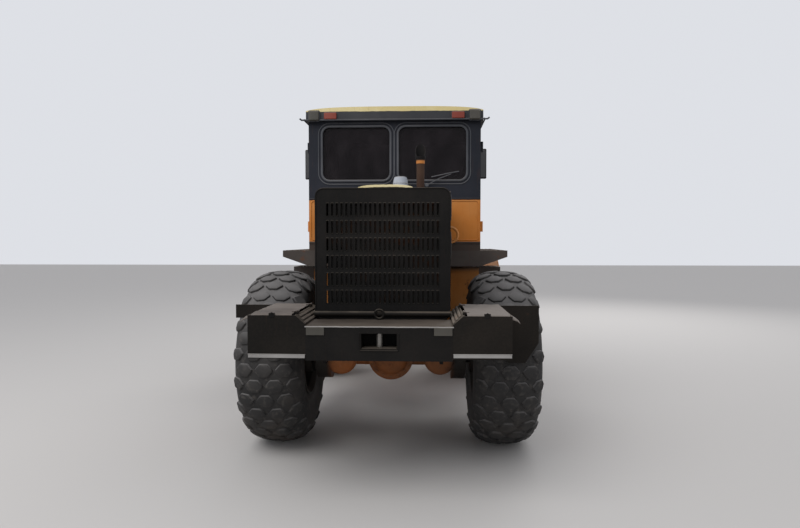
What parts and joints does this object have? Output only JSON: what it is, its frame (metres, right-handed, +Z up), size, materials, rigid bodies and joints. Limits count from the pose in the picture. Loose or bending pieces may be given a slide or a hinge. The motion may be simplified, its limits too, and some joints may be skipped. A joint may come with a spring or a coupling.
{
  "type": "articulated front loader",
  "caption": "Articulated wheeled front loader with a cab over the pivot, rear engine, parallel lift linkage and toothed bucket.",
  "frame": {"origin": "on the ground, under the middle of the machine's overall length and width", "axes": "+Y forwards towards the bucket, +X to the machine's right, +Z up"},
  "size_m": [2.46, 6.9, 3.0498],
  "materials": {
    "dark_paint": "dusty, worn matt paint",
    "orange_paint": "faded, dusty paint with rust",
    "cab_paint": "faded dark grey-blue paint",
    "roof_paint": "faded cream-yellow paint",
    "bucket_steel": "scoured and rusty steel",
    "casting": "oily casting",
    "rusty_iron": "rusty",
    "pin_steel": "greased steel",
    "cylinder_paint": "dusty paint",
    "rod_chrome": "polished rod",
    "window_glass": "dusty glass",
    "seat_leather": "worn artificial leather",
    "lamp_plastic": "faded lens",
    "tyre_rubber": "dusty rubber",
    "rim_paint": "dusty, rusty paint"
  },
  "bodies": {
    "rear_half": {"rear_frame": "dark_paint", "rear_rail_left": "dark_paint", "rear_rail_right": "dark_paint", "rear_axle": "orange_paint", "counterweight": "dark_paint", "gearbox": "casting", "side_box_left": "dark_paint", "side_box_right": "dark_paint", "radiator_guard": "dark_paint", "engine": "casting", "engine_hood": "orange_paint", "exhaust_pipe": "rusty_iron", "platform": "dark_paint", "cab_rear_wall": "cab_paint", "cab_front_wall": "cab_paint", "cab_left_wall": "cab_paint", "cab_right_wall": "cab_paint", "cab_glass": "window_glass", "cab_roof": "roof_paint", "seat_base": "dark_paint", "seat": "seat_leather", "steering_console": "dark_paint", "tanks": "orange_paint", "ladders": "dark_paint", "lamps": "lamp_plastic", "mirrors": "dark_paint"},
    "front_half": {"front_frame": "orange_paint", "front_axle": "orange_paint", "front_fenders": "orange_paint", "headlamps": "lamp_plastic"},
    "boom": {"boom": "orange_paint"},
    "crank_pin": {"crank_pin": "pin_steel"},
    "crank": {"crank": "orange_paint"},
    "link_pin": {"link_pin": "pin_steel"},
    "link": {"link": "orange_paint"},
    "bucket_pins": {"bucket_pins": "pin_steel"},
    "bucket": {"bucket": "bucket_steel"},
    "lift_barrels": {"lift_barrels": "cylinder_paint"},
    "lift_rods": {"lift_rods": "rod_chrome"},
    "tilt_barrel": {"tilt_barrel": "cylinder_paint"},
    "tilt_rod": {"tilt_rod": "rod_chrome"},
    "steer_barrel_left": {"steer_barrel_left": "cylinder_paint"},
    "steer_rod_left": {"steer_rod_left": "rod_chrome"},
    "door_left": {"door_left": "cab_paint", "door_glass_left": "window_glass"},
    "box_lid_left": {"box_lid_left": "dark_paint"},
    "steer_barrel_right": {"steer_barrel_right": "cylinder_paint"},
    "steer_rod_right": {"steer_rod_right": "rod_chrome"},
    "door_right": {"door_right": "cab_paint", "door_glass_right": "window_glass"},
    "box_lid_right": {"box_lid_right": "dark_paint"},
    "wheel_rear_left": {"tyre_rear_left": "tyre_rubber", "rim_rear_left": "rim_paint"},
    "wheel_rear_right": {"tyre_rear_right": "tyre_rubber", "rim_rear_right": "rim_paint"},
    "wheel_front_left": {"tyre_front_left": "tyre_rubber", "rim_front_left": "rim_paint"},
    "wheel_front_right": {"tyre_front_right": "tyre_rubber", "rim_front_right": "rim_paint"}
  },
  "joints": [
    {"name": "articulation", "type": "hinge", "parent": "rear_half", "child": "front_half", "pos_m": [0, -0.575, 0.745], "axis": [0, 0, 1], "range_deg": [-38, 38]},
    {"name": "boom_lift", "type": "hinge", "parent": "front_half", "child": "boom", "pos_m": [0, 0.525, 1.75], "axis": [1, 0, 0], "range_deg": [0, 80]},
    {"name": "crank_pin_turn", "type": "hinge", "parent": "boom", "child": "crank_pin", "pos_m": [0, 1.60787, 1.2722], "axis": [1, 0, 0], "range_deg": [-80, 0]},
    {"name": "crank_turn", "type": "hinge", "parent": "crank_pin", "child": "crank", "pos_m": [0, 1.60787, 1.2722], "axis": [1, 0, 0], "range_deg": [-40, 28]},
    {"name": "link_pin_turn", "type": "hinge", "parent": "crank", "child": "link_pin", "pos_m": [0, 1.64968, 1.67001], "axis": [1, 0, 0], "range_deg": [-28, 40]},
    {"name": "link_turn", "type": "hinge", "parent": "link_pin", "child": "link", "pos_m": [0, 1.64968, 1.67001], "axis": [1, 0, 0], "range_deg": [0, 80]},
    {"name": "bucket_pin_turn", "type": "hinge", "parent": "boom", "child": "bucket_pins", "pos_m": [0, 2.35, 0.35], "axis": [1, 0, 0], "range_deg": [-80, 0]},
    {"name": "bucket_tilt", "type": "hinge", "parent": "bucket_pins", "child": "bucket", "pos_m": [0, 2.35, 0.35], "axis": [1, 0, 0], "range_deg": [-40, 28]},
    {"name": "lift_barrel_turn", "type": "hinge", "parent": "front_half", "child": "lift_barrels", "pos_m": [0, 0.1, 0.95], "axis": [1, 0, 0], "range_deg": [0, 44.13]},
    {"name": "lift_rod_slide", "type": "slide", "parent": "lift_barrels", "child": "lift_rods", "axis": [0, 0.9884, 0.1521], "range_m": [0, 0.63423]},
    {"name": "tilt_barrel_turn", "type": "hinge", "parent": "front_half", "child": "tilt_barrel", "pos_m": [0, 0.41512, 1.98564], "axis": [1, 0, 0], "range_deg": [0, 80]},
    {"name": "tilt_rod_slide", "type": "slide", "parent": "tilt_barrel", "child": "tilt_rod", "axis": [0, 0.9149, -0.4037], "range_m": [-0.0909, 0.12985]},
    {"name": "steer_barrel_left_turn", "type": "hinge", "parent": "rear_half", "child": "steer_barrel_left", "pos_m": [-0.26, -1.025, 0.83], "axis": [0, 0, 1], "range_deg": [-12.21, 12.21]},
    {"name": "steer_rod_left_slide", "type": "slide", "parent": "steer_barrel_left", "child": "steer_rod_left", "axis": [0.029, 0.9996, 0], "range_m": [-0.15967, 0.15967]},
    {"name": "steer_barrel_right_turn", "type": "hinge", "parent": "rear_half", "child": "steer_barrel_right", "pos_m": [0.26, -1.025, 0.83], "axis": [0, 0, 1], "range_deg": [-12.21, 12.21]},
    {"name": "steer_rod_right_slide", "type": "slide", "parent": "steer_barrel_right", "child": "steer_rod_right", "axis": [-0.029, 0.9996, 0], "range_m": [-0.15967, 0.15967]},
    {"name": "wheel_rear_left_spin", "type": "hinge", "parent": "rear_half", "child": "wheel_rear_left", "pos_m": [-0.95, -2, 0.745], "axis": [1, 0, 0], "continuous": true},
    {"name": "wheel_rear_right_spin", "type": "hinge", "parent": "rear_half", "child": "wheel_rear_right", "pos_m": [0.95, -2, 0.745], "axis": [1, 0, 0], "continuous": true},
    {"name": "wheel_front_left_spin", "type": "hinge", "parent": "front_half", "child": "wheel_front_left", "pos_m": [-0.95, 0.85, 0.745], "axis": [1, 0, 0], "continuous": true},
    {"name": "wheel_front_right_spin", "type": "hinge", "parent": "front_half", "child": "wheel_front_right", "pos_m": [0.95, 0.85, 0.745], "axis": [1, 0, 0], "continuous": true},
    {"name": "door_left_swing", "type": "hinge", "parent": "rear_half", "child": "door_left", "pos_m": [-0.833, -1.44, 2.2], "axis": [0, 0, 1], "range_deg": [0, 95]},
    {"name": "box_lid_left_swing", "type": "hinge", "parent": "rear_half", "child": "box_lid_left", "pos_m": [-0.557, -3.0985, 1.274], "axis": [0, 1, 0], "range_deg": [0, 85]},
    {"name": "door_right_swing", "type": "hinge", "parent": "rear_half", "child": "door_right", "pos_m": [0.833, -1.44, 2.2], "axis": [0, 0, -1], "range_deg": [0, 95]},
    {"name": "box_lid_right_swing", "type": "hinge", "parent": "rear_half", "child": "box_lid_right", "pos_m": [0.557, -3.0985, 1.274], "axis": [0, -1, 0], "range_deg": [0, 85]}
  ],
  "couplings": [
    {"joint": "crank_pin_turn", "follows": "boom_lift", "ratio": -1},
    {"joint": "crank_turn", "follows": "bucket_tilt", "ratio": 1},
    {"joint": "link_pin_turn", "follows": "bucket_tilt", "ratio": -1},
    {"joint": "link_turn", "follows": "boom_lift", "ratio": 1},
    {"joint": "bucket_pin_turn", "follows": "boom_lift", "ratio": -1},
    {"joint": "lift_barrel_turn", "follows": "boom_lift", "ratio": 0.55164},
    {"joint": "lift_rod_slide", "follows": "boom_lift", "m_per_rad": 0.45423},
    {"joint": "tilt_barrel_turn", "follows": "boom_lift", "ratio": 1},
    {"joint": "tilt_rod_slide", "follows": "bucket_tilt", "m_per_rad": -0.186},
    {"joint": "steer_barrel_left_turn", "follows": "articulation", "ratio": 0.32133},
    {"joint": "steer_rod_left_slide", "follows": "articulation", "m_per_rad": -0.24075},
    {"joint": "steer_barrel_right_turn", "follows": "articulation", "ratio": 0.32133},
    {"joint": "steer_rod_right_slide", "follows": "articulation", "m_per_rad": 0.24075}
  ]
}
